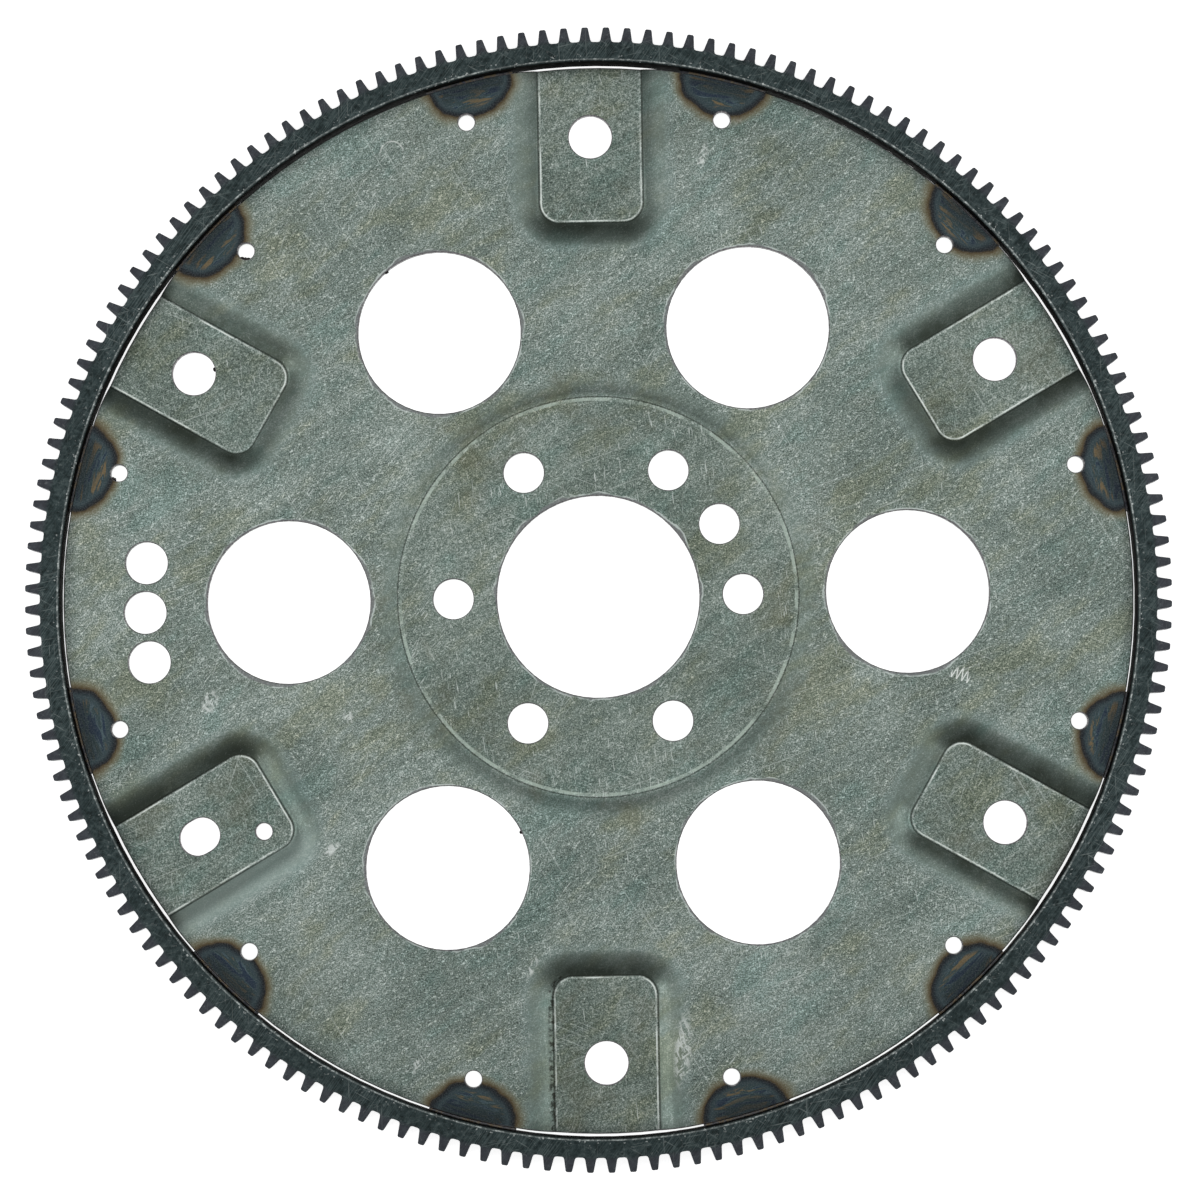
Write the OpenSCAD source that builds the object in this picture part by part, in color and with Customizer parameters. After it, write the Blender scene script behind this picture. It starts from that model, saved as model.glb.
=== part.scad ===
// Flexplate: a stamped steel disc inside a starter ring gear, held by twelve short welds.
// It lies on the undersides of its six converter pads, with the crankshaft side up.
// The origin is on the axis, level with those undersides. All sizes are in millimetres.

/* [Ring gear] */
// Number of teeth
tooth_count = 168; // [160:1:190]
// Tooth module, the pitch diameter over the number of teeth
tooth_module = 2.1167; // [2.05:0.0001:2.4]
// Height of a tooth above the pitch circle, in modules
tooth_addendum = 0.857; // [0.8:0.001:1]
// Depth of a tooth below the pitch circle, in modules
tooth_dedendum = 1.33; // [1.1:0.01:1.4]
// Width of a tooth at its tip
tooth_tip_w = 1.95; // [1.2:0.05:2.2]
// Width of a tooth at its root
tooth_root_w = 3.6; // [2.8:0.05:4]
// Radius of the fillet between a tooth and the root circle
tooth_fillet = 0.7; // [0.3:0.1:1]
// Chamfer along a tooth's tip
tooth_chamfer = 0.3; // [0.1:0.1:0.5]
// Turn of the first tooth from the X axis, in degrees
tooth_turn = 0.35; // [0:0.05:2]
// Height of the ring along the axis
ring_h = 10; // [8:0.5:14]
// Depth of the ring's body from the root circle to its bore
ring_body = 6; // [4:0.5:12]
// Chamfer at both ends of the ring's bore
ring_chamfer = 0.4; // [0.2:0.1:1]
// Height of the ring's upper face above the disc's face
ring_rise = 4; // [2:0.5:5]

/* [Disc] */
// Thickness of the sheet
sheet_t = 2.8; // [2:0.1:4]
// Gap between the disc's rim and the ring's bore
rim_gap = 0.9; // [0.6:0.1:2]
// Angle at which a formed slope runs out into the flat sheet, in degrees
runout_angle = 2; // [1:0.5:4]

/* [Hub] */
// Diameter of the raised hub face
hub_d = 125.4; // [115:0.1:128]
// Height of the hub face above the disc's face
hub_rise = 1.2; // [1:0.1:3]
// Width of the slope round the hub
hub_slope_w = 7; // [5:0.5:9]
// Diameter of the centre hole for the crankshaft's pilot
centre_d = 63.5; // [55:0.1:70]
// Diameter of the crankshaft bolt circle
crank_pcd = 90.93; // [85:0.01:100]
// Diameter of a crankshaft bolt hole
crank_hole_d = 12.6; // [10:0.1:14]
// Number of crankshaft bolt holes
crank_holes = 6; // [4:1:8]
// Distance of the locating hole from the axis
locating_r = 44.4; // [42:0.1:50]

/* [Lightening holes] */
// Number of lightening holes and of pads between them
spoke_count = 6; // [5:1:6]
// Diameter of a lightening hole
lightening_d = 51.2; // [40:0.1:56]
// Distance of the lightening holes from the axis
lightening_r = 97.2; // [92:0.1:102]

/* [Converter pads] */
// Diameter of the converter bolt circle
converter_pcd = 292.1; // [284:0.1:300]
// Diameter of a converter bolt hole
converter_hole_d = 13.6; // [10:0.1:15]
// Width of the slotted hole in the pad that locates the converter
slot_w = 11; // [9:0.1:13]
// Length of that slotted hole along its radius
slot_l = 12.8; // [11:0.1:16]
// Which pad has the slotted hole
slot_pad = 3; // [0:1:4]
// Width of a pad
pad_w = 32.2; // [28:0.1:38]
// Distance from the converter bolt circle in to a pad's inner edge
pad_reach = 27; // [20:0.5:30]
// Radius of a pad's inner corners
pad_corner = 6; // [4:0.5:10]
// Depth of a pad below the disc's face
pad_drop = 3.5; // [2:0.1:4]
// Width of the slope round a pad
pad_slope_w = 9; // [7:0.5:10]

/* [Small holes] */
// Number of small holes near the rim
rim_holes = 12; // [6:1:18]
// Diameter of the small holes
small_d = 5.2; // [4:0.1:7]
// Distance of the rim's small holes in from the disc's edge
rim_hole_inset = 12.3; // [9:0.1:14]
// Angle of the first of them from the X axis, in degrees
rim_hole_turn = 14.5; // [13:0.1:17]
// Distance of the small hole in the slotted pad in from the converter bolt circle
gauge_inset = 18.1; // [14:0.1:20]
// Distance of that hole to the side of the pad's middle
gauge_side = 9; // [6:0.1:10]

/* [Balance holes] */
// Diameter of a balance drilling
balance_d = 13.2; // [8:0.1:15]
// Distance of the balance drillings from the axis
balance_r = 142.4; // [135:0.1:146]
// Number of balance drillings
balance_count = 3; // [1:1:3]
// Angle between neighbouring drillings, in degrees
balance_step = 6.3; // [6.1:0.1:8]
// Angle of the middle drilling from the X axis, in degrees
balance_turn = 181; // [178:0.1:182]

/* [Welds] */
// Length of a weld along the rim
weld_l = 28; // [12:1:28]
// Radius of the bead
weld_r = 2.7; // [2:0.1:3]
// Depth taken off the bead's crown at the middle of its length
weld_flat = 0.15; // [0.1:0.05:0.4]
// Height of the bead at its ends
weld_end_h = 0.8; // [0.4:0.1:1.2]
// Depth that a weld runs up into the gap beside the rim
weld_depth = 1.5; // [0.5:0.1:2]
// Distance along the rim from a pad's slope to the nearer end of a weld
weld_clear = 4.5; // [4.5:0.5:9]

/* [Hidden] */
$fn = 360;
// Overshoot of a cutter past the face that it cuts
cut = 1;

// Heights above the undersides of the pads
face_bottom = pad_drop;
face_top = face_bottom + sheet_t;
hub_top = face_top + hub_rise;
hub_bottom = hub_top - sheet_t;
ring_top = face_top + ring_rise;
ring_bottom = ring_top - ring_h;
highest = max(ring_top, hub_top);
lowest = min(0, ring_bottom);

// Radii of the gear and of the disc inside it
pitch_r = tooth_module * tooth_count / 2;
tip_r = pitch_r + tooth_addendum * tooth_module;
root_r = pitch_r - tooth_dedendum * tooth_module;
bore_r = root_r - ring_body;
rim_r = bore_r - rim_gap;
hub_r = hub_d / 2;

// The pads lie between the lightening holes
spoke_step = 360 / spoke_count;
pad_angles = [for (i = [0:spoke_count - 1]) (i + 0.5) * spoke_step];
converter_r = converter_pcd / 2;
pad_inner = converter_r - pad_reach;

// Two welds beside each pad, each a little out of place, as welds laid by hand are
weld_count = 2 * spoke_count;
weld_stray = [-2, 0, 0.5, -2, 1.5, 0, -1.5, 0, 0.5, 0, -2, -1];
weld_offset = asin((pad_w / 2 + pad_slope_w + weld_clear + weld_l / 2) / rim_r);
weld_names = [for (i = [1:weld_count]) str("weld_", i < 10 ? "0" : "", i)];
function weld_angle(i) =
    pad_angles[floor(i / 2)] + (i % 2 == 0 ? -1 : 1) * weld_offset + weld_stray[i % len(weld_stray)];

// A slope formed in the sheet, as seen along it: the sheet climbs by rise over width, bends round
// one centre below it, and runs out into the flat sheet beyond at the run-out angle.
function slope_half(rise, width) = atan(rise / width) - runout_angle;
function slope_r(rise, width) = norm([rise, width]) / 2 / sin(slope_half(rise, width));
function slope_centre(rise, width) =
    [width + slope_r(rise, width) * sin(runout_angle), rise - slope_r(rise, width) * cos(runout_angle)];
function slope_inner_r(rise, width) = norm(slope_centre(rise, width) - [width, rise - sheet_t]);
// Distance from the foot of the slope's upper side to the foot of its lower side
function slope_foot(rise, width) =
    slope_centre(rise, width)[0]
    - sqrt(pow(slope_inner_r(rise, width), 2) - pow(slope_centre(rise, width)[1] + sheet_t, 2));

// The space above one side of a slope, from the flat inside its foot to where the bend levels out
module above_slope(rise, width, bend_r, floor_z) {
    centre = slope_centre(rise, width);
    difference() {
        translate([-cut, floor_z]) square([centre[0] + cut, rise + cut]);
        translate(centre) circle(bend_r);
    }
}

// The space above the sheet's upper side
module hollow_edge(rise, width) {
    above_slope(rise, width, slope_r(rise, width), 0);
}

// The space above the sheet's lower side
module raised_edge(rise, width) {
    above_slope(rise, width, slope_inner_r(rise, width), -sheet_t);
}

// Half of the disc's section: the flat sheet with the hub pressed up out of it
module disc_section() {
    slope_start = hub_r - slope_foot(hub_rise, hub_slope_w);
    difference() {
        union() {
            translate([centre_d / 2, face_bottom]) square([rim_r + cut - centre_d / 2, sheet_t]);
            translate([centre_d / 2, face_top - cut])
                square([slope_start - cut / 2 - centre_d / 2, hub_rise + cut]);
            translate([slope_start, hub_bottom]) mirror([0, 1]) raised_edge(hub_rise, hub_slope_w);
        }
        translate([0, face_bottom - cut]) square([slope_start - cut / 2, hub_rise + cut]);
        translate([slope_start, hub_bottom]) mirror([0, 1]) hollow_edge(hub_rise, hub_slope_w);
    }
}

// Outline of the flat inside a pad along +X, open towards the rim
module pad_outline() {
    round_r = pad_corner - cut / 2;
    half_w = pad_w / 2 - cut / 2;
    inner = pad_inner + cut / 2;
    outer = rim_r + 2 * cut;
    translate([inner + round_r, -half_w]) square([outer - inner - round_r, 2 * half_w]);
    translate([inner, -half_w + round_r]) square([2 * round_r, 2 * (half_w - round_r)]);
    for (side = [-1, 1]) translate([inner + round_r, side * (half_w - round_r)]) circle(round_r);
}

// Carries a slope's section round a pad along +X: two sides, the inner end and the two corners
module round_pad() {
    straight_from = pad_inner + pad_corner;
    straight_l = rim_r + 2 * cut - straight_from;
    end_l = pad_w - 2 * pad_corner;
    translate([pad_inner, -end_l / 2, 0]) rotate([90, 0, 180]) linear_extrude(end_l) children();
    for (side = [0, 1]) mirror([0, side, 0]) {
        translate([straight_from, pad_w / 2, 0]) rotate([90, 0, 90]) linear_extrude(straight_l) children();
        translate([straight_from, end_l / 2, 0]) rotate(90)
            rotate_extrude(angle = 90) translate([pad_corner, 0]) children();
    }
}

// The block that a pad is formed from, down to its underside
module pad_block() {
    linear_extrude(pad_drop + cut) pad_outline();
    translate([0, 0, sheet_t]) round_pad() raised_edge(pad_drop, pad_slope_w);
}

// The hollow above a pad
module pad_hollow() {
    translate([0, 0, sheet_t]) {
        linear_extrude(pad_drop + cut) pad_outline();
        round_pad() hollow_edge(pad_drop, pad_slope_w);
    }
}

// A cutter for a round hole through the disc
module hole(d) {
    translate([0, 0, lowest - cut]) cylinder(d = d, h = highest - lowest + 2 * cut);
}

// A cutter for a slot along X with round ends
module slot(w, l) {
    for (end = [-1, 1]) translate([end * (l - w) / 2, 0, 0]) hole(w);
    translate([-(l - w) / 2, -w / 2, lowest - cut]) cube([l - w, w, highest - lowest + 2 * cut]);
}

// The crankshaft bolt holes, and the locating hole half a step past the first of them
module hub_holes() {
    crank_step = 360 / crank_holes;
    for (i = [0:crank_holes - 1]) rotate(i * crank_step) translate([crank_pcd / 2, 0, 0]) hole(crank_hole_d);
    rotate(crank_step / 2) translate([locating_r, 0, 0]) hole(crank_hole_d);
}

module pad_holes() {
    for (i = [0:spoke_count - 1]) rotate(pad_angles[i]) translate([converter_r, 0, 0]) {
        if (i == slot_pad) {
            slot(slot_w, slot_l);
            translate([-gauge_inset, gauge_side, 0]) hole(small_d);
        } else {
            hole(converter_hole_d);
        }
    }
}

module sheet_holes() {
    for (i = [0:spoke_count - 1]) rotate(i * spoke_step) translate([lightening_r, 0, 0]) hole(lightening_d);
    for (i = [0:rim_holes - 1])
        rotate(rim_hole_turn + i * 360 / rim_holes) translate([rim_r - rim_hole_inset, 0, 0]) hole(small_d);
    for (i = [0:balance_count - 1])
        rotate(balance_turn + (i - (balance_count - 1) / 2) * balance_step)
            translate([balance_r, 0, 0]) hole(balance_d);
}

// The disc, stamped in one piece from flat sheet
module disc() {
    color([0.42, 0.46, 0.44]) difference() {
        intersection() {
            union() {
                rotate_extrude() disc_section();
                for (a = pad_angles) rotate(a) pad_block();
            }
            translate([0, 0, lowest - cut]) cylinder(r = rim_r, h = highest - lowest + 2 * cut);
        }
        for (a = pad_angles) rotate(a) pad_hollow();
        hub_holes();
        pad_holes();
        sheet_holes();
    }
}

// One tooth's outline, counter-clockwise from root to root, as [distance to the side, radius]
function tooth_slope() = (tooth_root_w - tooth_tip_w) / 2 / (tip_r - root_r);
function fillet_points(side) =
    let (start = [side * (tooth_root_w / 2 + tooth_fillet), root_r],
         corner = [side * tooth_root_w / 2, root_r],
         end = [side * (tooth_root_w / 2 - tooth_fillet * tooth_slope()), root_r + tooth_fillet])
    [start, (start + 2 * corner + end) / 4, end];
function tip_points(side) =
    [[side * (tooth_tip_w / 2 + tooth_chamfer * tooth_slope()), tip_r - tooth_chamfer],
     [side * (tooth_tip_w / 2 - tooth_chamfer), tip_r]];
function reversed(list) = [for (i = [len(list) - 1:-1:0]) list[i]];
function tooth_points() =
    concat(fillet_points(-1), tip_points(-1), reversed(tip_points(1)), reversed(fillet_points(1)));

module gear_outline() {
    tooth = tooth_points();
    polygon([for (i = [0:tooth_count - 1]) for (p = tooth)
        let (a = tooth_turn + i * 360 / tooth_count + asin(p[0] / p[1]))
        p[1] * [cos(a), sin(a)]]);
}

// The starter ring gear: straight teeth round a plain bore, chamfered at both ends
module ring_gear() {
    color([0.17, 0.20, 0.20]) translate([0, 0, ring_bottom]) difference() {
        linear_extrude(ring_h) difference() {
            gear_outline();
            circle(bore_r);
        }
        for (end = [0, 1]) translate([0, 0, end * ring_h]) mirror([0, 0, end]) translate([0, 0, -cut])
            cylinder(r1 = bore_r + ring_chamfer + cut, r2 = bore_r, h = ring_chamfer + cut);
    }
}

// The space that a weld fills, in section: below the sheet, and up into the gap beside its rim
module weld_space() {
    reach = 2 * weld_r;
    translate([rim_r - reach, face_bottom - reach]) square([rim_gap + reach, reach]);
    translate([rim_r, face_bottom - weld_r]) square([rim_gap, weld_r + weld_depth]);
}

// The bead's section: round, within that space
module weld_section() {
    intersection() {
        translate([(rim_r + bore_r) / 2, face_bottom]) circle(weld_r, $fn = 64);
        weld_space();
    }
}

// A weld on the far side, in the corner between the sheet and the ring's bore, thinner towards its ends
module weld(i) {
    half_angle = weld_l / 2 / rim_r * 180 / PI;
    crown_h = weld_r - weld_flat;
    end_drop = crown_h - weld_end_h;
    crown_r = (pow(weld_l / 2, 2) + pow(end_drop, 2)) / 2 / end_drop;
    color([0.25, 0.25, 0.27]) rotate(weld_angle(i)) intersection() {
        rotate(-half_angle) rotate_extrude(angle = 2 * half_angle) weld_section();
        translate([rim_r - 2 * weld_r, 0, face_bottom - crown_h + crown_r]) rotate([0, 90, 0])
            cylinder(r = crown_r, h = 4 * weld_r);
    }
}

disc();
ring_gear();
for (i = [0:weld_count - 1]) weld(i);
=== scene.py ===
# A flexplate lying on its six converter pads, with the crankshaft side up. The disc, the ring gear and the
# twelve welds are dressed copies of the solids, so their places and sizes come from the frame.
import math
import bpy
from mathutils import Matrix, Vector


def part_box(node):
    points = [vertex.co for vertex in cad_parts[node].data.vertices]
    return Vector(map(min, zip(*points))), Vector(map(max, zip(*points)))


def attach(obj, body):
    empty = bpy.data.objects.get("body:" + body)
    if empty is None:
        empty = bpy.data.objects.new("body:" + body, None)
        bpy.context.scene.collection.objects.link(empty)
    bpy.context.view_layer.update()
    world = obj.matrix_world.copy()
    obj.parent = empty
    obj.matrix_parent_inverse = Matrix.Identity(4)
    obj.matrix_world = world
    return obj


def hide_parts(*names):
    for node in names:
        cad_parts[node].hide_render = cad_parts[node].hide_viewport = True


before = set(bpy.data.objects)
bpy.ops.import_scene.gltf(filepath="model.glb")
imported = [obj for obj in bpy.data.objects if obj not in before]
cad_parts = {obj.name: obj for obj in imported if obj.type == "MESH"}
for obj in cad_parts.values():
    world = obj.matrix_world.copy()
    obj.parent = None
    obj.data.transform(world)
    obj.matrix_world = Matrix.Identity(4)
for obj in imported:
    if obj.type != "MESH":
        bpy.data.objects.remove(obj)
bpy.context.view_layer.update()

MM = 0.001
WELD_NODES = sorted(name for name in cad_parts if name.startswith("weld_"))

# Sizes of the formed features, in millimetres, as in the solids
RIM_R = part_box("disc")[1].x / MM
RIM_GAP = 0.9
BORE_R = RIM_R + RIM_GAP
RING_WALL = 6.0
ROOT_R = BORE_R + RING_WALL
PAD_WIDTH = 32.2
PAD_INNER = 119.05
PAD_CORNER = 6.0
PAD_SLOPE = 9.0
PAD_COUNT = 6
HUB_R = 62.7
HUB_SLOPE = 7.0
CENTRE_D = 63.5
LIGHTENING_D = 51.2
LIGHTENING_R = 97.2
CONVERTER_D = 13.6
CONVERTER_R = 146.05
SMALL_D = 5.2
RIM_HOLE_R = RIM_R - 12.3

# Heights of the flat sheet's middle, and of burrs just under the top face of the sheet and of a pad
SHEET_MIDDLE = 4.9
FACE_Z = 5.6
PAD_Z = 2.1

# Burrs: the hole's place as radius and degrees, its diameter, the side the burr is on, its height and length
BURRS = (
    (RIM_HOLE_R, 134.5, SMALL_D, 262, FACE_Z, 3.6),
    (CONVERTER_R, 150, CONVERTER_D, 11, PAD_Z, 1.5),
    (RIM_HOLE_R, 164.5, SMALL_D, 228, FACE_Z, 1.8),
    (LIGHTENING_R, 120, LIGHTENING_D, 130, FACE_Z, 1.4),
    (LIGHTENING_R, 240, LIGHTENING_D, 25, FACE_Z, 1.2))
# The ball a burr starts from, how far in from the wall its middle is in millimetres, how ragged it gets, and
# the ragged waves along it and out from the wall, in radians to the metre
BURR_BALL_R = 0.5 * MM
BURR_IN_FROM_WALL = 0.15
BURR_RAGGED = 0.28
BURR_WAVES_ALONG = 5200
BURR_WAVES_OUT = 4300

# The heat tint beside a weld: half its length along the rim, and how far in it reaches, in millimetres
TINT_HALF_LENGTH = 13.6
TINT_DEPTH = 11.2

# Marks on the disc: x, y, degrees, half length and half width in millimetres
RUBBED_PLACES = (
    (-122.4, -31.1, 70, 5.0, 3.2), (-85.2, -78.0, 40, 4.5, 2.0), (-98.4, -67.2, 120, 7.0, 2.6),
    (-58.8, -145.0, 60, 4.0, 1.8), (-79.0, -37.0, 100, 5.0, 2.0), (-22.6, -115.5, 65, 4.5, 1.6),
    (24.0, -142.0, 85, 15.0, 3.4), (45.0, 150.0, 20, 5.0, 2.2), (35.0, 138.0, 70, 7.0, 1.8))
# A patch of one pad's slope that gets painted light and no painted shade
LIT_SLOPE_PATCH = (-112.0, -91.0, 210, 30.0, 10.0)
DIRTY_SIDE = (-18.0, -140.0, 0, 7.0, 30.0)
SCUFFED_PATCH = (112.6, -28.2, 68, 4.6, 3.8)
ROUND_MARK = (-62.7, 141.6, 0, 1.0, 1.0)
ROUND_MARK_R = 3.6

# Direction in which the sheet was rolled, in radians
ROLLED_ALONG = 0.62

# Rounding of the punched edges and of the ring's edges
PUNCHED_EDGE = 0.3 * MM
RING_EDGE = 0.16 * MM
SHARP_DEGREES = 60
SMOOTH_DEGREES = 28
MERGE_WITHIN = 0.002 * MM

# A weld's even mesh and its ripples
BEAD_MESH = 0.22 * MM
BEAD_WIDTH = 2.7 * MM
RIPPLE_PITCH = 1.7 * MM
RIPPLE_DEPTH = 0.35 * MM
RIPPLE_BOW = 0.7
RIPPLE_ROUND = 0.6
RIPPLE_OFFSET = 0.37

# How metallic the bare steel is, from 0 to 1
METAL = 0.9


def weld_angle(name):
    low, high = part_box(name)
    middle = (low + high) / 2
    return math.atan2(middle.y, middle.x)


def polar(radius, degrees):
    return (radius * math.cos(math.radians(degrees)), radius * math.sin(math.radians(degrees)))


def srgb(red, green, blue):
    """A colour given as it looks on a screen, 0 to 255, as the shader wants it."""
    def linear(value):
        value = value / 255
        return value / 12.92 if value <= 0.04045 else ((value + 0.055) / 1.055) ** 2.4
    return (linear(red), linear(green), linear(blue), 1.0)


class Finish:
    """One surface finish, with short ways to wire its nodes."""

    def __init__(self, name):
        self.material = bpy.data.materials.new(name)
        self.material.use_nodes = True
        self.tree = self.material.node_tree
        self.shader = self.tree.nodes["Principled BSDF"]

    def put(self, value, socket):
        if isinstance(value, bpy.types.NodeSocket):
            self.tree.links.new(value, socket)
        else:
            socket.default_value = value

    def shade(self, colour, roughness, metal):
        self.put(colour, self.shader.inputs["Base Color"])
        self.put(roughness, self.shader.inputs["Roughness"])
        self.put(metal, self.shader.inputs["Metallic"])

    def math(self, operation, first, second=None):
        node = self.tree.nodes.new("ShaderNodeMath")
        node.operation = operation
        self.put(first, node.inputs[0])
        if second is not None:
            self.put(second, node.inputs[1])
        return node.outputs[0]

    def chain(self, operation, values):
        result = values[0]
        for value in values[1:]:
            result = self.math(operation, result, value)
        return result

    def plus(self, *values):
        return self.chain("ADD", values)

    def less(self, first, second):
        return self.math("SUBTRACT", first, second)

    def times(self, *values):
        return self.chain("MULTIPLY", values)

    def most(self, *values):
        return self.chain("MAXIMUM", values)

    def least(self, *values):
        return self.chain("MINIMUM", values)

    def size(self, value):
        return self.math("ABSOLUTE", value)

    def vector(self, operation, first, second=None, scale=None):
        node = self.tree.nodes.new("ShaderNodeVectorMath")
        node.operation = operation
        self.put(first, node.inputs[0])
        if second is not None:
            self.put(second, node.inputs[1])
        if scale is not None:
            self.put(scale, node.inputs["Scale"])
        return node.outputs["Value"] if operation == "LENGTH" else node.outputs["Vector"]

    def length(self, vector):
        return self.vector("LENGTH", vector)

    def shifted(self, vector, x, y):
        return self.vector("ADD", vector, (x, y, 0.0))

    def place(self):
        """The point on the piece, in millimetres."""
        node = self.tree.nodes.new("ShaderNodeTexCoord")
        return self.vector("SCALE", node.outputs["Object"], scale=1 / MM)

    def parts(self, vector):
        node = self.tree.nodes.new("ShaderNodeSeparateXYZ")
        self.put(vector, node.inputs[0])
        return node.outputs

    def join(self, x, y, z):
        node = self.tree.nodes.new("ShaderNodeCombineXYZ")
        for value, socket in zip((x, y, z), node.inputs):
            self.put(value, socket)
        return node.outputs[0]

    def laid(self, vector, turn, scale, shift=(0, 0, 0)):
        """The point as seen from a pattern that is shifted, turned and stretched."""
        node = self.tree.nodes.new("ShaderNodeMapping")
        node.vector_type = "TEXTURE"
        self.put(vector, node.inputs["Vector"])
        node.inputs["Location"].default_value = shift
        node.inputs["Rotation"].default_value = (0, 0, turn)
        node.inputs["Scale"].default_value = scale
        return node.outputs[0]

    def at_mark(self, vector, mark, depth=1.0):
        """The point as seen from a mark, whose half length and half width are then 1."""
        x, y, degrees, long, wide = mark
        return self.laid(vector, math.radians(degrees), (long, wide, depth), (x, y, 0.0))

    def noise(self, vector, size, detail=2.0, roughness=0.5, distortion=0.0):
        """Cloudy noise whose blotches are about so many millimetres across."""
        node = self.tree.nodes.new("ShaderNodeTexNoise")
        self.put(vector, node.inputs["Vector"])
        node.inputs["Scale"].default_value = 1 / size
        node.inputs["Detail"].default_value = detail
        node.inputs["Roughness"].default_value = roughness
        node.inputs["Distortion"].default_value = distortion
        return node.outputs["Fac"]

    def rise(self, value, low, high, to_low=0.0, to_high=1.0, smooth=True):
        node = self.tree.nodes.new("ShaderNodeMapRange")
        node.interpolation_type = "SMOOTHSTEP" if smooth else "LINEAR"
        self.put(value, node.inputs["Value"])
        node.inputs["From Min"].default_value = low
        node.inputs["From Max"].default_value = high
        node.inputs["To Min"].default_value = to_low
        node.inputs["To Max"].default_value = to_high
        return node.outputs["Result"]

    def fall(self, value, low, high, start=1.0):
        return self.rise(value, low, high, start, 0.0)

    def line(self, value, middle, half_width, fade):
        """1 on a line at that value, fading to 0 beside it."""
        return self.fall(self.size(self.less(value, middle)), half_width, half_width + fade)

    def ramp(self, value, stops):
        node = self.tree.nodes.new("ShaderNodeValToRGB")
        self.put(value, node.inputs["Fac"])
        elements = node.color_ramp.elements
        while len(elements) < len(stops):
            elements.new(0.5)
        for element, (position, colour) in zip(elements, stops):
            element.position = position
            element.color = colour
        return node.outputs["Color"]

    def mix(self, factor, first, second, blend="MIX"):
        node = self.tree.nodes.new("ShaderNodeMix")
        node.data_type = "RGBA"
        node.blend_type = blend
        self.put(factor, node.inputs["Factor"])
        self.put(first, node.inputs[6])
        self.put(second, node.inputs[7])
        return node.outputs[2]

    def over(self, under, colour, *amounts):
        """The colour laid over what is under it, by the product of the amounts."""
        return self.mix(self.times(*amounts), under, colour)

    def glazed(self, under, colour, *amounts):
        """What is under, tinted by a glaze of the colour."""
        return self.over(under, self.mix(1.0, under, colour, "MULTIPLY"), *amounts)

    def bump(self, height, distance, strength):
        node = self.tree.nodes.new("ShaderNodeBump")
        self.put(strength, node.inputs["Strength"])
        node.inputs["Distance"].default_value = distance
        self.put(height, node.inputs["Height"])
        self.put(node.outputs["Normal"], self.shader.inputs["Normal"])


def scratches(finish, place, turn, length, width, amount, where):
    """Hairlines that run one way: stretched noise, kept only at its peaks and only where told."""
    streak = finish.noise(finish.laid(place, turn, (length, width, width)), 1.0, detail=1.0)
    return finish.times(finish.rise(streak, 0.66, 0.76), where, amount)


class SheetForms:
    """Where a point of the disc lies beside its pressed forms and larger holes, in millimetres."""

    def __init__(self, finish):
        self.place = finish.place()
        x, y, z = finish.parts(self.place)
        self.flat = finish.join(x, y, 0.0)
        self.radius = finish.length(self.flat)

        # Distance out from the outline of the nearest pad, with the pads folded onto one
        sector = 2 * math.pi / PAD_COUNT
        self.turned = finish.math("DIVIDE", finish.math("ARCTAN2", y, x), sector)
        aside = finish.times(finish.less(finish.math("FRACT", self.turned), 0.5), sector)
        along = finish.times(self.radius, finish.math("COSINE", aside))
        across = finish.size(finish.times(self.radius, finish.math("SINE", aside)))
        past_side = finish.less(across, PAD_WIDTH / 2 - PAD_CORNER)
        past_end = finish.less(PAD_INNER + PAD_CORNER, along)
        corner = finish.join(finish.most(past_side, 0.0), finish.most(past_end, 0.0), 0.0)
        inside = finish.least(finish.most(past_side, past_end), 0.0)
        self.from_pad = finish.less(finish.plus(finish.length(corner), inside), PAD_CORNER)
        self.on_pad_slope = finish.times(finish.rise(self.from_pad, 0.0, 0.8),
                                         finish.fall(self.from_pad, 6.0, PAD_SLOPE + 2))

        # 1 where the pad's slope runs up or down the sheet, 0 where it runs sideways
        # It sets where the slopes get painted shade and painted light
        pad_turn = finish.times(finish.plus(finish.math("FLOOR", self.turned), 0.5), sector)
        out_x, out_y = finish.parts(finish.vector("NORMALIZE", corner))[:2]
        side_y = finish.times(out_x, finish.math("SIGN", aside), finish.math("COSINE", pad_turn))
        slope_y = finish.less(side_y, finish.times(out_y, finish.math("SINE", pad_turn)))
        self.up_or_down = finish.rise(finish.size(slope_y), 0.3, 0.9)

        self.from_hub = finish.less(self.radius, HUB_R)
        on_hub_slope = finish.times(finish.rise(self.from_hub, 0.0, 0.8),
                                    finish.fall(self.from_hub, 4.0, HUB_SLOPE + 2))
        self.on_slope = finish.most(self.on_pad_slope, finish.times(on_hub_slope, 0.7))
        self.on_flat_form = finish.most(finish.fall(self.from_pad, -1.5, 0.0),
                                        finish.fall(self.from_hub, -1.5, 0.0))
        self.on_top = finish.rise(z, SHEET_MIDDLE - 0.5, SHEET_MIDDLE + 0.5)

        # Distance out from the nearest lightening hole or the centre bore
        half = finish.less(sector / 2, finish.size(aside))
        hole_along = finish.less(finish.times(self.radius, finish.math("COSINE", half)), LIGHTENING_R)
        hole_across = finish.times(self.radius, finish.math("SINE", half))
        from_middle = finish.length(finish.join(hole_along, hole_across, 0.0))
        self.from_cut = finish.least(finish.less(from_middle, LIGHTENING_D / 2),
                                     finish.less(self.radius, CENTRE_D / 2))


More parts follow.
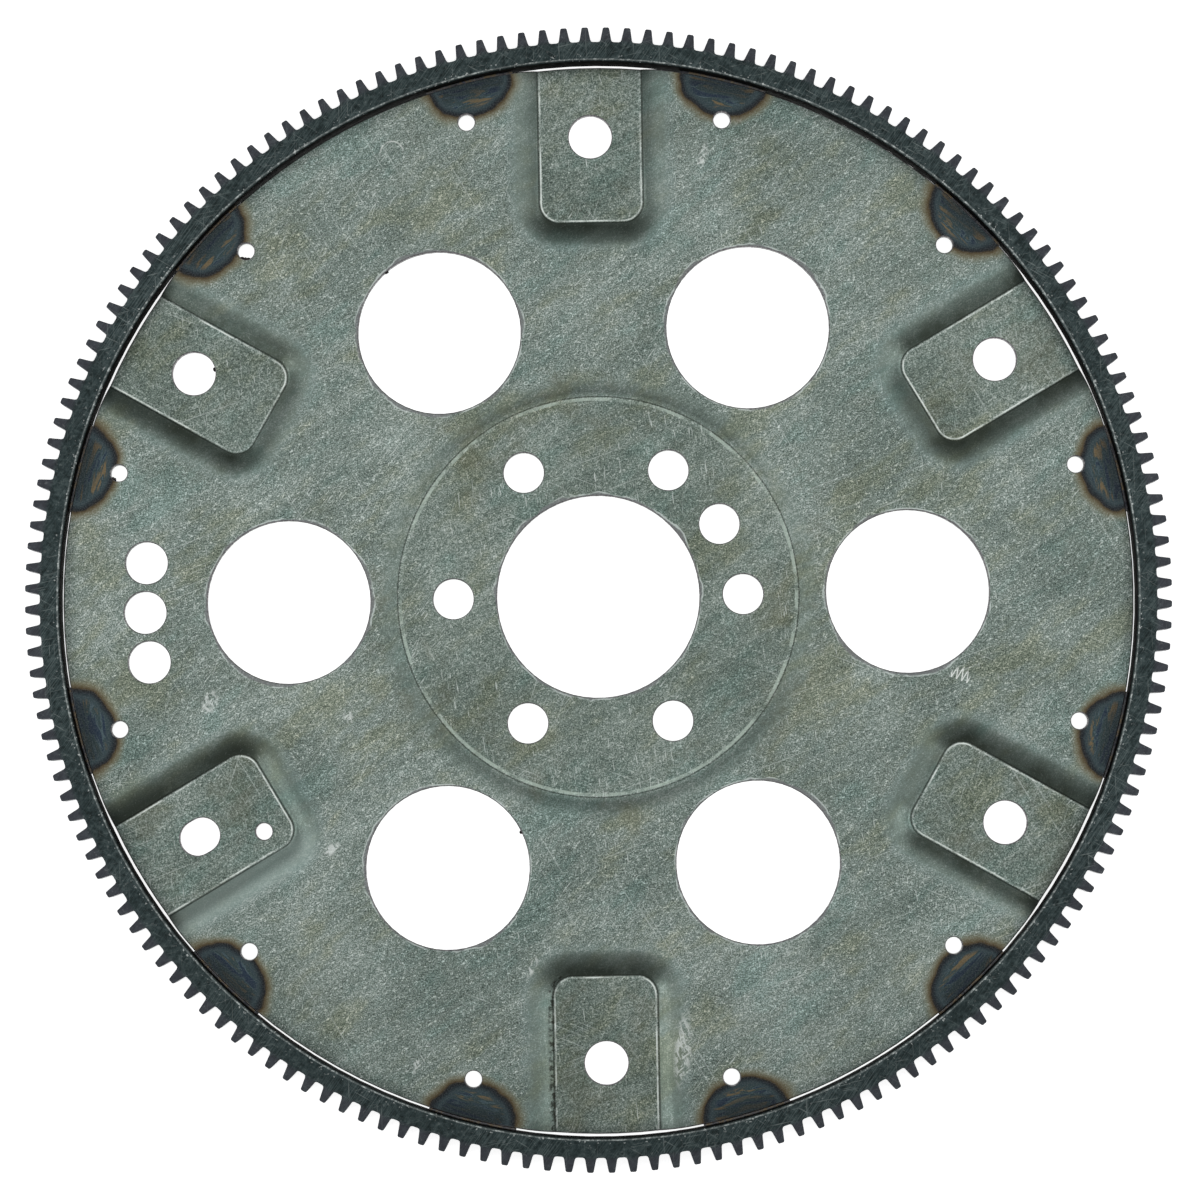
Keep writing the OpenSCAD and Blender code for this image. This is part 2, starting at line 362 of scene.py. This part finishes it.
def rolled_sheet(finish, forms, fine, coarse):
    """Fine grain with bright flecks over slow streaks, smoother where the sheet was drawn, with teal and
    olive casts that drift over it."""
    place = forms.place
    fleck = finish.noise(finish.laid(place, 0.5, (1.5, 1.0, 1.0), (11.0, -23.0, 0.0)), 0.55, detail=1.0)
    grain = finish.plus(finish.times(finish.less(fine, 0.5), 2.6), finish.less(coarse, 0.5),
                        finish.rise(fleck, 0.6, 0.74, 0.0, 0.65))
    grain = finish.less(grain, finish.rise(fleck, 0.38, 0.24, 0.0, 0.25))
    grain = finish.times(grain, finish.rise(forms.on_slope, 0.0, 1.0, 1.0, 0.35),
                         finish.rise(forms.on_flat_form, 0.0, 1.0, 1.0, 0.85))
    clouds = finish.noise(finish.shifted(place, 0.0, 90.0), 38.0, detail=3.0, roughness=0.6)
    streaks = finish.noise(finish.laid(place, ROLLED_ALONG, (34.0, 4.0, 4.0)), 1.0, detail=3.0, roughness=0.6)
    shade = finish.plus(1.0, grain, finish.rise(clouds, 0.3, 0.7, -0.13, 0.1),
                        finish.rise(streaks, 0.3, 0.7, -0.07, 0.07))
    steel = finish.ramp(finish.times(shade, 0.5), [
        (0.1, srgb(38, 46, 41)), (0.5, srgb(129, 145, 137)), (0.9, srgb(224, 234, 229))])
    olive, teal = srgb(246, 236, 206), srgb(226, 246, 246)
    cast = finish.noise(finish.laid(place, ROLLED_ALONG, (2.2, 1.0, 1.0), (40.0, 0.0, 0.0)), 13.0, detail=3.0,
                        roughness=0.6)
    steel = finish.glazed(steel, olive, finish.rise(cast, 0.5, 0.68, 0.0, 0.55))
    return finish.glazed(steel, teal, finish.rise(cast, 0.48, 0.32, 0.0, 0.6))


def stained_forms(finish, forms, steel, stain):
    """Stains on the pads and round the hub; painted shade on the slopes that run up or down the sheet, and
    painted light on those that run sideways and on one patch of slope.
    """
    stain_brown, dull_grey = srgb(122, 118, 92), srgb(232, 233, 230)
    slope_painted_shade, patch_painted_light = srgb(74, 83, 74), srgb(178, 196, 190)
    sideways_slope_painted_light, start_teal = srgb(176, 194, 188), srgb(150, 172, 172)
    from_pad = forms.from_pad
    near_form = finish.most(finish.fall(from_pad, -4.0, 12.0), finish.line(forms.radius, HUB_R, 6.0, 12.0))
    steel = finish.over(steel, stain_brown, finish.rise(stain, 0.48, 0.68),
                        finish.rise(near_form, 0.0, 1.0, 0.25, 0.8), 0.33)
    steel = finish.glazed(steel, dull_grey, forms.on_flat_form, 0.75)
    # Painted light on one patch of slope beside a pad, which is kept free of the painted shade below
    from_lit_patch = finish.length(finish.at_mark(forms.flat, LIT_SLOPE_PATCH))
    steel = finish.over(steel, patch_painted_light, forms.on_pad_slope, finish.fall(from_lit_patch, 0.8, 1.3, 0.5))
    # Painted shade: slopes that run up or down the sheet darken, as if turned away from the lamps at the
    # sides
    steel = finish.over(steel, slope_painted_shade, finish.rise(from_pad, 0.0, 0.8),
                        finish.fall(from_pad, 1.2, PAD_SLOPE - 0.5), finish.rise(stain, 0.4, 0.6, 0.62, 0.95),
                        forms.up_or_down, finish.rise(from_lit_patch, 0.8, 1.3))
    # Painted light: slopes that run sideways are lightened a little, as if facing the lamps at the sides
    steel = finish.over(steel, sideways_slope_painted_light, forms.on_pad_slope,
                        finish.fall(forms.up_or_down, 0.0, 1.0, 0.06))
    return finish.over(steel, start_teal, finish.line(from_pad, PAD_SLOPE, 0.6, 2.0), 0.14)


def sheet_scratches(finish, place):
    """Long and short hairlines in six directions, each in the more or the less worn patches."""
    worn = finish.noise(finish.shifted(place, 46.0, -46.0), 42.0, detail=1.0)
    more_worn, less_worn = finish.rise(worn, 0.45, 0.6), finish.rise(worn, 0.55, 0.4)
    return finish.most(*[scratches(finish, place, turn, length, width, amount, where)
                         for turn, length, width, amount, where in (
                             (0.35, 30, 0.5, 0.5, more_worn), (1.25, 22, 0.45, 0.5, less_worn),
                             (2.1, 36, 0.5, 0.5, less_worn), (2.75, 18, 0.45, 0.5, more_worn),
                             (1.7, 5, 0.45, 0.9, more_worn), (0.9, 4, 0.4, 0.9, less_worn))])


def rubbed_places(finish, forms):
    """Places where something rubbed the top face: short bright lines and ticks."""
    nearest = finish.least(*[finish.length(finish.at_mark(forms.flat, mark)) for mark in RUBBED_PLACES])
    lines = finish.noise(finish.laid(forms.place, 1.9, (3.4, 1.1, 1.1)), 1.0, detail=2.0, roughness=0.6,
                         distortion=0.5)
    ticks = finish.noise(finish.laid(forms.place, 0.6, (2.6, 0.8, 0.8), (8.0, 0.0, 0.0)), 1.0, detail=1.0)
    bright = finish.most(finish.rise(lines, 0.47, 0.57), finish.rise(ticks, 0.56, 0.64))
    return finish.times(finish.fall(nearest, 0.35, 1.0), forms.on_top, bright)


def form_lines(finish, forms, steel):
    """A burnished line with a painted highlight and a thin line of painted shade where each slope leaves its
    flat, dirt beside one pad, and painted shade on the rim beside the ring.
    """
    pad_burnish_highlight, pad_crease_shade, side_dirt = srgb(240, 248, 242), srgb(36, 40, 34), srgb(34, 32, 24)
    hub_burnish_highlight, hub_edge_shade = srgb(196, 212, 200), srgb(52, 58, 50)
    rim_painted_shade, rim_edge_painted_shade = srgb(48, 56, 54), srgb(34, 36, 36)
    place, from_pad, from_hub = forms.place, forms.from_pad, forms.from_hub
    broken = finish.rise(finish.noise(place, 10.0, detail=3.0, roughness=0.7), 0.38, 0.62, 0.08, 1.0)
    # Along each pad's edge a burnished line with a painted highlight, then a thin line of painted shade in
    # the crease
    steel = finish.over(steel, pad_burnish_highlight, finish.line(from_pad, -0.25, 0.12, 0.22), broken, 0.95)
    steel = finish.over(steel, pad_crease_shade, finish.line(from_pad, 0.4, 0.12, 0.3), 0.7)
    from_dirty_side = finish.length(finish.at_mark(forms.flat, DIRTY_SIDE))
    crumbs = finish.noise(place, 1.9, detail=3.0, roughness=0.7)
    steel = finish.over(steel, side_dirt, finish.line(from_pad, 0.9, 0.45, 0.9),
                        finish.fall(from_dirty_side, 0.85, 1.1), finish.rise(crumbs, 0.46, 0.58), 0.8)
    # Round the hub's edge a burnished line with a painted highlight, then a thin line of painted shade
    # outside it
    steel = finish.over(steel, hub_burnish_highlight, finish.line(from_hub, -0.5, 0.35, 0.3), broken, 0.7)
    steel = finish.over(steel, hub_edge_shade, finish.line(from_hub, 0.3, 0.08, 0.25), 0.65)
    # Painted shade: the disc darkens towards the ring, and most of all along its very edge beside the gap
    steel = finish.over(steel, rim_painted_shade, finish.rise(forms.radius, RIM_R - 4.5, RIM_R - 0.3, 0.0, 0.36))
    return finish.over(steel, rim_edge_painted_shade, finish.rise(forms.radius, RIM_R - 0.5, RIM_R - 0.2, 0.0, 0.8))


def scuff_marks(finish, forms, patchy):
    """A zigzag scuff beside a lightening hole, and a round scratch beside a pad, both on the top face."""
    scuff_place = finish.at_mark(forms.place, SCUFFED_PATCH, depth=99.0)
    along, across = finish.parts(scuff_place)[:2]
    teeth = finish.size(finish.less(finish.math("FRACT", finish.times(across, 2.2)), 0.5))
    off_line = finish.size(finish.less(teeth, finish.math("FRACT", finish.times(along, 0.55))))
    zigzag = finish.times(finish.fall(off_line, 0.05, 0.16),
                          finish.fall(finish.length(scuff_place), 0.75, 1.05))
    from_round = finish.length(finish.at_mark(forms.flat, ROUND_MARK))
    round_scratch = finish.times(finish.line(from_round, ROUND_MARK_R, 0.1, 0.25), patchy, 0.6)
    return finish.times(finish.most(zigzag, round_scratch), forms.on_top)


def heat_tint(finish, forms, wander, fine):
    """The tint beside each weld and how strong it is: slate with golden and pale wisps that follow the rim,
    a painted shadow of the ring beside the ring, then a darker outline and a golden-brown halo."""
    slate_teal, slate_blue, ring_shadow_in_tint = srgb(56, 72, 74), srgb(42, 56, 72), srgb(26, 31, 34)
    pale_wisp, golden_wisp, speck = srgb(92, 112, 118), srgb(128, 108, 74), srgb(200, 206, 206)
    radius = forms.radius
    tint_size = (TINT_DEPTH, TINT_HALF_LENGTH, 1.0)
    nearest = finish.least(*[
        finish.length(finish.laid(forms.flat, turn, tint_size,
                                  (RIM_R * math.cos(turn), RIM_R * math.sin(turn), 0.0)))
        for turn in map(weld_angle, WELD_NODES)])
    tint = finish.plus(nearest, finish.rise(wander, 0.3, 0.7, -0.05, 0.05, smooth=False))
    along_rim = finish.join(finish.times(radius, 0.42), finish.times(forms.turned, 12.0), 0.0)
    wisps = finish.noise(along_rim, 1.0, detail=3.0, roughness=0.6, distortion=1.2)
    to_outline = finish.rise(tint, 0.35, 0.75, 0.3, 1.0)
    slate = finish.mix(finish.rise(wisps, 0.5, 0.38), slate_teal, slate_blue)
    slate = finish.over(slate, pale_wisp, finish.line(wisps, 0.45, 0.012, 0.02), to_outline, 0.6)
    slate = finish.over(slate, golden_wisp, finish.rise(wisps, 0.55, 0.62), to_outline, 0.8)
    # Painted shadow of the ring, darkening the tint towards the rim
    slate = finish.over(slate, ring_shadow_in_tint, finish.rise(radius, RIM_R - 7.0, RIM_R - 1.5, 0.0, 0.62))
    heat = finish.ramp(finish.times(tint, 0.7), [
        (0.58, srgb(58, 72, 76)), (0.65, srgb(36, 43, 48)), (0.69, srgb(38, 38, 38)),
        (0.725, srgb(88, 76, 54)), (0.80, srgb(120, 114, 88)), (0.92, srgb(134, 140, 122))])
    heat = finish.mix(finish.rise(tint, 0.68, 0.84), slate, heat)
    heat = finish.over(heat, finish.mix(0.5, heat, speck), finish.rise(fine, 0.4, 0.7, 0.0, 0.12))
    return heat, finish.fall(tint, 1.02, 1.36)


def disc_steel():
    finish = Finish("disc_steel")
    forms = SheetForms(finish)
    place = forms.place
    fine = finish.noise(place, 0.42, detail=2.0, roughness=0.6)
    coarse = finish.noise(finish.laid(place, 0.5, (1.9, 1.0, 1.0), (31.0, 7.0, 0.0)), 0.8, detail=2.0,
                          roughness=0.6, distortion=0.9)
    stain = finish.noise(finish.shifted(place, -50.0, 20.0), 17.0, detail=4.0, roughness=0.65)
    wander = finish.noise(place, 7.0, detail=3.0)
    patchy = finish.rise(wander, 0.42, 0.58)
    hairline, rub, scuff = srgb(226, 234, 230), srgb(240, 246, 243), srgb(246, 250, 246)
    sheared, outline = srgb(132, 133, 136), srgb(214, 224, 220)

    steel = rolled_sheet(finish, forms, fine, coarse)
    steel = stained_forms(finish, forms, steel, stain)
    marks = sheet_scratches(finish, place)
    steel = finish.over(steel, hairline, marks, finish.rise(forms.on_slope, 0.0, 1.0, 0.7, 0.2))
    steel = finish.over(steel, rub, rubbed_places(finish, forms), 0.68)
    steel = form_lines(finish, forms, steel)

    # Sheared band of uneven width and a pale outline beside the larger holes
    past_band = finish.less(forms.from_cut, finish.rise(stain, 0.42, 0.66, 0.25, 1.3))
    steel = finish.over(steel, sheared, finish.fall(past_band, -0.1, 0.12, 0.7))
    steel = finish.over(steel, outline, finish.line(past_band, 0.22, 0.1, 0.25), patchy, 0.75)

    steel = finish.over(steel, scuff, scuff_marks(finish, forms, patchy), 0.9)
    heat, heated = heat_tint(finish, forms, wander, fine)
    steel = finish.over(steel, heat, heated)
    rough = finish.plus(finish.rise(fine, 0.3, 0.7, 0.48, 0.36), finish.times(marks, -0.1),
                        finish.times(heated, -0.06))
    finish.shade(steel, rough, METAL)
    raised = finish.plus(finish.times(fine, 2.6), coarse)
    finish.bump(raised, 0.015 * MM, finish.rise(forms.on_slope, 0.0, 1.0, 0.5, 0.18))
    return finish.material


def ring_steel():
    """Dark steel with slanted grinding lines, scratches, and a nicked bright inner edge."""
    finish = Finish("ring_steel")
    place = finish.place()
    x, y = finish.parts(place)[:2]
    radius = finish.length(finish.join(x, y, 0.0))
    ground, scratched, tooth_grey = srgb(104, 118, 118), srgb(150, 160, 158), srgb(76, 76, 84)
    edge_bright, spot_bright = srgb(206, 214, 212), srgb(220, 226, 224)
    mottle = finish.noise(place, 1.6, detail=4.0, roughness=0.65)
    steel = finish.ramp(mottle, [(0.3, srgb(34, 43, 43)), (0.5, srgb(50, 62, 63)), (0.7, srgb(74, 86, 86))])
    worn = finish.rise(finish.noise(place, 30.0, detail=2.0), 0.35, 0.6, 0.25, 1.0)
    lay = finish.noise(finish.laid(place, 0.95, (9.0, 0.32, 0.32)), 1.0, detail=1.0)
    lay = finish.times(finish.rise(lay, 0.42, 0.72), worn)
    steel = finish.over(steel, ground, lay, 0.5)
    marks = finish.most(*[scratches(finish, place, turn, length, width, 0.8, worn)
                          for turn, length, width in ((2.6, 10, 0.4), (1.6, 14, 0.45), (0.2, 8, 0.35))])
    steel = finish.over(steel, scratched, marks, 0.55)
    steel = finish.over(steel, tooth_grey, finish.rise(radius, ROOT_R - 0.8, ROOT_R + 1.5), 0.65)
    nicked = finish.rise(finish.noise(place, 1.7, detail=4.0, roughness=0.75), 0.46, 0.66)
    inner_edge = finish.line(radius, BORE_R + 0.5, 0.12, 0.25)
    steel = finish.over(steel, edge_bright, inner_edge, finish.plus(0.2, nicked), 0.8)
    spots = finish.rise(finish.noise(finish.shifted(place, 5.0, 5.0), 0.9, detail=1.0), 0.66, 0.75)
    steel = finish.over(steel, spot_bright, spots,
                        finish.rise(radius, BORE_R + 0.6, BORE_R + 3.0, 0.75, 0.08))
    finish.shade(steel, finish.rise(mottle, 0.3, 0.7, 0.5, 0.36), METAL)
    finish.bump(finish.less(mottle, finish.times(lay, 0.7)), 0.02 * MM, 0.5)
    return finish.material


def sheared_edge():
    """Edges and walls of the punched holes: smooth grey with fine lines through the sheet."""
    finish = Finish("sheared_edge")
    x, y, z = finish.parts(finish.place())
    lines = finish.noise(finish.join(x, y, finish.times(z, 0.12)), 0.5, detail=2.0)
    steel = finish.ramp(lines, [
        (0.3, srgb(82, 80, 82)), (0.5, srgb(114, 112, 114)), (0.7, srgb(150, 150, 150))])
    finish.shade(steel, finish.rise(lines, 0.3, 0.7, 0.5, 0.38), METAL)
    finish.bump(lines, 0.02 * MM, 0.5)
    return finish.material


def burr_scale():
    """Burnt steel of a burr left in a hole."""
    finish = Finish("burr_scale")
    crust = finish.noise(finish.place(), 0.4, detail=3.0)
    steel = finish.ramp(crust, [(0.3, srgb(14, 12, 12)), (0.6, srgb(44, 38, 38)), (0.8, srgb(96, 90, 90))])
    finish.shade(steel, finish.rise(crust, 0.3, 0.7, 0.75, 0.5), 0.5)
    return finish.material


def bore_scale_and_shade():
    """The ring's bore, black with mill scale and darkened further, with its reflection cut, as painted shade.
    """
    finish = Finish("bore_scale_and_shade")
    patch = finish.noise(finish.place(), 2.2, detail=4.0, roughness=0.7)
    scale = finish.ramp(patch, [(0.3, srgb(10, 11, 11)), (0.55, srgb(22, 23, 22)), (0.75, srgb(40, 36, 32))])
    finish.shade(scale, finish.rise(patch, 0.3, 0.7, 0.95, 0.75), 0.0)
    # Reflection turned down so that the bore reads as painted shade
    finish.put(0.05, finish.shader.inputs["Specular IOR Level"])
    finish.bump(patch, 0.04 * MM, 0.6)
    return finish.material


def weld_steel():
    """Weld metal with blue and straw tints."""
    finish = Finish("weld_steel")
    place = finish.place()
    patch = finish.noise(place, 3.0, detail=3.0, roughness=0.6)
    fine = finish.noise(place, 0.5, detail=2.0)
    bead = finish.ramp(patch, [
        (0.3, srgb(64, 66, 74)), (0.48, srgb(108, 108, 110)), (0.6, srgb(134, 120, 96)),
        (0.75, srgb(92, 96, 112))])
    bead = finish.over(bead, srgb(190, 190, 188), finish.rise(fine, 0.55, 0.75, 0.0, 0.35))
    finish.shade(bead, finish.rise(fine, 0.3, 0.7, 0.3, 0.45), METAL)
    finish.bump(fine, 0.03 * MM, 0.5)
    return finish.material


def merged_copy(node, name):
    """A copy of a solid with its loose triangles merged, ready to work on."""
    bpy.ops.object.select_all(action="DESELECT")
    piece = bpy.data.objects.new(name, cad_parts[node].data.copy())
    bpy.context.scene.collection.objects.link(piece)
    piece.select_set(True)
    bpy.context.view_layer.objects.active = piece
    bpy.ops.object.mode_set(mode="EDIT")
    bpy.ops.mesh.select_all(action="SELECT")
    bpy.ops.mesh.remove_doubles(threshold=MERGE_WITHIN)
    bpy.ops.object.mode_set(mode="OBJECT")
    piece.data.materials.clear()
    return piece


def round_edges(piece, edge, edge_slot=-1):
    """Takes the merged triangles to faces and rounds the sharp edges. The rounded strips get the piece's
    material slot of that number, or keep their faces' own."""
    bpy.ops.object.mode_set(mode="EDIT")
    bpy.ops.mesh.select_all(action="SELECT")
    bpy.ops.mesh.dissolve_limited(angle_limit=math.radians(0.2))
    bpy.ops.object.mode_set(mode="OBJECT")
    bevel = piece.modifiers.new("rounded edges", "BEVEL")
    bevel.width = edge
    bevel.segments = 2
    bevel.limit_method = "ANGLE"
    bevel.angle_limit = math.radians(SHARP_DEGREES)
    bevel.use_clamp_overlap = False
    bevel.material = edge_slot
    bpy.ops.object.modifier_apply(modifier=bevel.name)
    bpy.ops.object.shade_smooth_by_angle(angle=math.radians(SMOOTH_DEGREES))
    weighted = piece.modifiers.new("flat faces stay flat", "WEIGHTED_NORMAL")
    weighted.keep_sharp = True
    bpy.ops.object.modifier_apply(modifier=weighted.name)


def stand_for(piece, node):
    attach(piece, "root")
    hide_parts(node)


def make_disc():
    disc = merged_copy("disc", "disc_plate")
    disc.data.materials.append(disc_steel())
    disc.data.materials.append(sheared_edge())
    round_edges(disc, PUNCHED_EDGE, edge_slot=1)
    for face in disc.data.polygons:
        if abs(face.normal.z) < 0.3:
            face.material_index = 1
    stand_for(disc, "disc")


def make_burr(number, hole, hole_d, towards, height, length, finish):
    """A ragged curl of steel on a hole's wall: a ball drawn out along the wall, then roughened."""
    turn = math.radians(towards)
    hole_r = hole_d / 2
    bpy.ops.object.select_all(action="DESELECT")
    bpy.ops.mesh.primitive_ico_sphere_add(subdivisions=3, radius=BURR_BALL_R)
    burr = bpy.context.object
    burr.name = "burr_%d" % number
    bpy.ops.object.mode_set(mode="EDIT")
    bpy.ops.mesh.select_all(action="SELECT")
    bpy.ops.transform.resize(value=(1.1, length, 1.3))
    bpy.ops.mesh.vertices_smooth(factor=0.4)
    bpy.ops.object.mode_set(mode="OBJECT")
    for vertex in burr.data.vertices:
        wave_along = math.sin(BURR_WAVES_ALONG * vertex.co.y + number)
        wave_out = math.cos(BURR_WAVES_OUT * vertex.co.x + 2 * number)
        ragged = 1.0 + BURR_RAGGED * (wave_along * wave_out)
        out = (hole_r - BURR_IN_FROM_WALL) * MM + vertex.co.x * ragged
        swing = turn + vertex.co.y / (hole_r * MM)
        vertex.co = Vector((hole[0] * MM + out * math.cos(swing), hole[1] * MM + out * math.sin(swing),
                            height * MM + vertex.co.z * ragged))
    bpy.ops.object.shade_smooth()
    burr.data.materials.append(finish)
    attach(burr, "root")


def make_burrs():
    finish = burr_scale()
    for number, (radius, degrees, hole_d, towards, height, length) in enumerate(BURRS, 1):
        make_burr(number, polar(radius, degrees), hole_d, towards, height, length, finish)


def make_ring():
    """The ring, whose bore has a finish of its own."""
    ring = merged_copy("ring_gear", "starter_ring")
    round_edges(ring, RING_EDGE)
    ring.data.materials.append(ring_steel())
    ring.data.materials.append(bore_scale_and_shade())
    for face in ring.data.polygons:
        x, y = face.center[:2]
        inward = -(face.normal.x * x + face.normal.y * y) / math.hypot(x, y)
        face.material_index = 1 if inward > 0.85 else 0
    stand_for(ring, "ring_gear")


def make_weld(node, finish, start):
    """A bead laid in overlapping ripples, which are pressed into an evenly meshed copy of the solid."""
    bead = merged_copy(node, node + "_bead")
    bead.data.remesh_voxel_size = BEAD_MESH
    bpy.ops.object.voxel_remesh()
    smoothed = bead.modifiers.new("even surface", "SMOOTH")
    smoothed.factor = 0.5
    smoothed.iterations = 4
    bpy.ops.object.modifier_apply(modifier=smoothed.name)
    turn = weld_angle(node)
    outward = [vertex.normal.copy() for vertex in bead.data.vertices]
    for vertex, normal in zip(bead.data.vertices, outward):
        along = -vertex.co.x * math.sin(turn) + vertex.co.y * math.cos(turn)
        across = vertex.co.x * math.cos(turn) + vertex.co.y * math.sin(turn) - RIM_R * MM
        phase = along / RIPPLE_PITCH + start + RIPPLE_BOW * (across / BEAD_WIDTH) ** 2
        valley = 1.0 - abs(math.sin(math.pi * phase)) ** RIPPLE_ROUND
        exposed = min(1.0, max(0.0, -normal.z - 0.15) / 0.35)
        vertex.co -= normal * RIPPLE_DEPTH * valley * exposed
    bpy.ops.object.shade_smooth()
    bead.data.materials.append(finish)
    stand_for(bead, node)


def make_welds():
    finish = weld_steel()
    for number, node in enumerate(WELD_NODES):
        make_weld(node, finish, RIPPLE_OFFSET * number)


def lay_floor():
    floor_width, floor_height = 6.0, -0.1 * MM
    bpy.ops.object.select_all(action="DESELECT")
    bpy.ops.mesh.primitive_plane_add(size=floor_width, location=(0, 0, floor_height))
    floor = bpy.context.object
    floor.name = "floor"
    paper = bpy.data.materials.new("white_paper")
    paper.use_nodes = True
    shader = paper.node_tree.nodes["Principled BSDF"]
    shader.inputs["Base Color"].default_value = (0.9, 0.9, 0.9, 1)
    shader.inputs["Roughness"].default_value = 0.9
    shader.inputs["Emission Color"].default_value = (1, 1, 1, 1)
    shader.inputs["Emission Strength"].default_value = 0.85
    floor.data.materials.append(paper)


def softbox(name, place, aim, width, height, power):
    light = bpy.data.lights.new(name, "AREA")
    light.shape = "RECTANGLE"
    light.size = width
    light.size_y = height
    light.energy = power
    lamp = bpy.data.objects.new(name, light)
    bpy.context.scene.collection.objects.link(lamp)
    lamp.location = place
    lamp.rotation_euler = (Vector(aim) - Vector(place)).to_track_quat("-Z", "Y").to_euler()


def light_studio():
    softbox("overhead_strip", (0.0, 0.17, 1.4), (0, 0.17, 0), 3.0, 1.0, 7.3)
    softbox("left_softbox", (-0.75, -0.3, 0.5), (0, 0, 0), 0.5, 0.4, 1.1)
    softbox("right_softbox", (0.75, -0.1, 0.5), (0, 0, 0), 0.5, 0.4, 0.9)
    card_count, card_distance, card_height = 4, 2.4, 0.62
    for number in range(card_count):
        x, y = polar(card_distance, 45 + 360 / card_count * number)
        softbox("side_card_%d" % (number + 1), (x, y, card_height), (0, 0, 0.3), 2.4, 0.8, 3.5)
    world = bpy.data.worlds.new("studio")
    bpy.context.scene.world = world
    world.use_nodes = True
    world.node_tree.nodes["Background"].inputs["Color"].default_value = (1, 1, 1, 1)
    world.node_tree.nodes["Background"].inputs["Strength"].default_value = 0.2


def set_camera():
    distance, lean, bearing, roll = 1.3, math.radians(2.99), math.radians(-86.7), math.radians(-1.02)
    focal_px, image_px = 4135.3, 1200
    aim_height, shift_right, shift_up = 0.005, 0.00053, -0.00097
    back = Vector((math.sin(lean) * math.cos(bearing), math.sin(lean) * math.sin(bearing), math.cos(lean)))
    right = Vector((0, 1, 0)).cross(back).normalized()
    up = back.cross(right)
    right, up = math.cos(roll) * right + math.sin(roll) * up, math.cos(roll) * up - math.sin(roll) * right
    place = Vector((0, 0, aim_height)) + distance * back + shift_right * right + shift_up * up
    data = bpy.data.cameras.new("camera")
    data.sensor_width = 36.0
    data.lens = focal_px / image_px * data.sensor_width
    data.clip_end = 20.0
    camera = bpy.data.objects.new("camera", data)
    bpy.context.scene.collection.objects.link(camera)
    camera.matrix_world = Matrix((
        (right.x, up.x, back.x, place.x), (right.y, up.y, back.y, place.y), (right.z, up.z, back.z, place.z),
        (0, 0, 0, 1)))
    bpy.context.scene.camera = camera


make_disc()
make_burrs()
make_ring()
make_welds()

lay_floor()
light_studio()
set_camera()
bpy.context.scene.view_settings.view_transform = "Standard"
